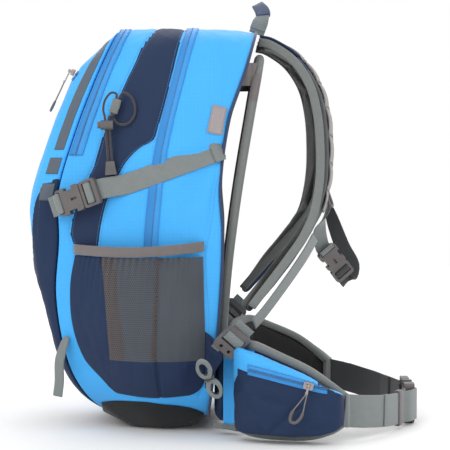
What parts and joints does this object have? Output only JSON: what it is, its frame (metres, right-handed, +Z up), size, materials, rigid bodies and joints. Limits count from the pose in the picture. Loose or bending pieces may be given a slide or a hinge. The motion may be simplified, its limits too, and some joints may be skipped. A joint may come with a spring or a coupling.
{
  "type": "daypack",
  "caption": "Hiking daypack with a tensioned mesh back, side pockets, compression straps, padded shoulder harness and pocketed hip belt.",
  "frame": {"origin": "on the floor under the middle of the base", "axes": "+X towards the wearer's back, +Y towards the wearer's left, +Z up"},
  "size_m": [0.4937, 0.4178, 0.5429],
  "materials": {
    "sky_fabric": "ripstop weave, slight sheen",
    "navy_fabric": "ripstop weave, matt",
    "base_fabric": "coarse coated weave",
    "zip_tape": "knitted tape",
    "binding": "elastic binding",
    "label": "woven patch",
    "reflective": "coated print",
    "webbing": "ribbed webbing",
    "clip_plastic": "moulded, fine grain",
    "elastic_cord": "braided sleeve",
    "spring_steel": "drawn",
    "mesh": "open knit",
    "padding": "foam behind spacer mesh",
    "zip_metal": "satin"
  },
  "bodies": {
    "pack": {"main_compartment": "sky_fabric", "front_compartment": "navy_fabric", "front_pocket": "sky_fabric", "base_panel": "base_fabric", "zip_tapes": "zip_tape", "side_pocket_right": "navy_fabric", "side_pocket_left": "navy_fabric", "pocket_hems": "binding", "side_label": "label", "reflective_bars": "reflective", "compression_strap_right": "webbing", "compression_strap_left": "webbing", "compression_anchors": "webbing", "compression_sockets": "clip_plastic", "pole_tab": "webbing", "bungee_cord": "elastic_cord", "cord_end": "clip_plastic", "ice_axe_loops": "webbing", "haul_loop": "webbing", "frame_wire": "spring_steel", "frame_sleeve": "binding", "back_mesh": "mesh", "lumbar_pad": "padding", "corner_wings": "binding", "shoulder_pad_right": "padding", "shoulder_pad_left": "padding", "strap_webbings": "webbing", "ladder_locks": "clip_plastic", "strap_anchors": "navy_fabric", "webbing_rolls": "webbing", "hip_fin_right": "padding", "hip_fin_left": "padding", "hip_pocket_right": "navy_fabric", "hip_pocket_left": "navy_fabric", "hip_zip_tapes": "zip_tape", "hip_webbing_right": "webbing", "hip_webbing_left": "webbing", "hip_socket": "clip_plastic", "hip_keepers": "binding", "sternum_webbing_right": "webbing", "sternum_webbing_left": "webbing", "sternum_socket": "clip_plastic"},
    "compression_plug_right": {"compression_plug_right": "clip_plastic"},
    "compression_plug_left": {"compression_plug_left": "clip_plastic"},
    "cord_lock": {"cord_lock_body": "clip_plastic"},
    "cord_lock_button": {"cord_lock_button": "clip_plastic"},
    "hip_plug": {"hip_plug": "clip_plastic"},
    "sternum_plug": {"sternum_plug": "clip_plastic"},
    "hip_slider_right": {"hip_slider_right": "zip_metal"},
    "hip_slider_left": {"hip_slider_left": "zip_metal"},
    "hip_pull_right": {"hip_pull_right": "zip_metal"},
    "hip_pull_left": {"hip_pull_left": "zip_metal"},
    "main_slider": {"main_slider": "zip_metal"},
    "main_pull": {"main_pull": "zip_metal"},
    "front_slider": {"front_slider": "zip_metal"},
    "front_pull": {"front_pull": "zip_metal"},
    "pocket_slider": {"pocket_slider": "zip_metal"},
    "pocket_pull": {"pocket_pull": "zip_metal"}
  },
  "joints": [
    {"name": "compression_plug_right_out", "type": "slide", "parent": "pack", "child": "compression_plug_right", "axis": [0.8759, -0.3463, 0.3361], "range_m": [0, 0.024], "deforming": ["compression_strap_right"]},
    {"name": "compression_plug_left_out", "type": "slide", "parent": "pack", "child": "compression_plug_left", "axis": [0.8759, 0.3463, 0.3361], "range_m": [0, 0.024], "deforming": ["compression_strap_left"]},
    {"name": "hip_plug_out", "type": "slide", "parent": "pack", "child": "hip_plug", "axis": [0, 1, 0], "range_m": [0, 0.033], "deforming": ["hip_webbing_left"]},
    {"name": "sternum_plug_out", "type": "slide", "parent": "pack", "child": "sternum_plug", "axis": [0.5788, 0.2994, -0.7585], "range_m": [0, 0.021], "deforming": ["sternum_webbing_left"]},
    {"name": "cord_lock_slide", "type": "slide", "parent": "pack", "child": "cord_lock", "axis": [0.0752, -0.0376, -0.9965], "range_m": [0, 0.034]},
    {"name": "cord_lock_press", "type": "slide", "parent": "cord_lock", "child": "cord_lock_button", "axis": [1, 0, 0], "range_m": [0, 0.002], "stiffness_N_per_m": 350, "springref_m": -0.002},
    {"name": "hip_zip_right", "type": "slide", "parent": "pack", "child": "hip_slider_right", "axis": [-0.9647, 0.0882, 0.2481], "range_m": [0, 0.055]},
    {"name": "hip_zip_left", "type": "slide", "parent": "pack", "child": "hip_slider_left", "axis": [-0.9647, -0.0882, 0.2481], "range_m": [0, 0.055]},
    {"name": "hip_pull_right_lift", "type": "hinge", "parent": "hip_slider_right", "child": "hip_pull_right", "pos_m": [0.19622, -0.20656, 0.07384], "axis": [-0.9647, 0.0882, 0.2481], "range_deg": [0, 110]},
    {"name": "hip_pull_left_lift", "type": "hinge", "parent": "hip_slider_left", "child": "hip_pull_left", "pos_m": [0.19622, 0.20656, 0.07384], "axis": [0.9647, 0.0882, -0.2481], "range_deg": [0, 110]},
    {"name": "main_zip", "type": "slide", "parent": "pack", "child": "main_slider", "axis": [-0.2084, 0.0443, -0.977], "range_m": [-0.012, 0.045]},
    {"name": "main_pull_lift", "type": "hinge", "parent": "main_slider", "child": "main_pull", "pos_m": [0.03002, 0.14664, 0.39572], "axis": [0.9643, 0.1764, -0.1977], "range_deg": [0, 170]},
    {"name": "front_zip", "type": "slide", "parent": "pack", "child": "front_slider", "axis": [-0.3473, 0.1477, -0.926], "range_m": [-0.01, 0.038]},
    {"name": "front_pull_lift", "type": "hinge", "parent": "front_slider", "child": "front_pull", "pos_m": [-0.0642, 0.1043, 0.43269], "axis": [0.869, 0.4218, -0.2587], "range_deg": [0, 170]},
    {"name": "pocket_zip", "type": "slide", "parent": "pack", "child": "pocket_slider", "axis": [0, 1, 0], "range_m": [-0.004, 0.105]},
    {"name": "pocket_pull_lift", "type": "hinge", "parent": "pocket_slider", "child": "pocket_pull", "pos_m": [-0.09749, -0.054, 0.45081], "axis": [0, 1, 0], "range_deg": [0, 150]}
  ]
}
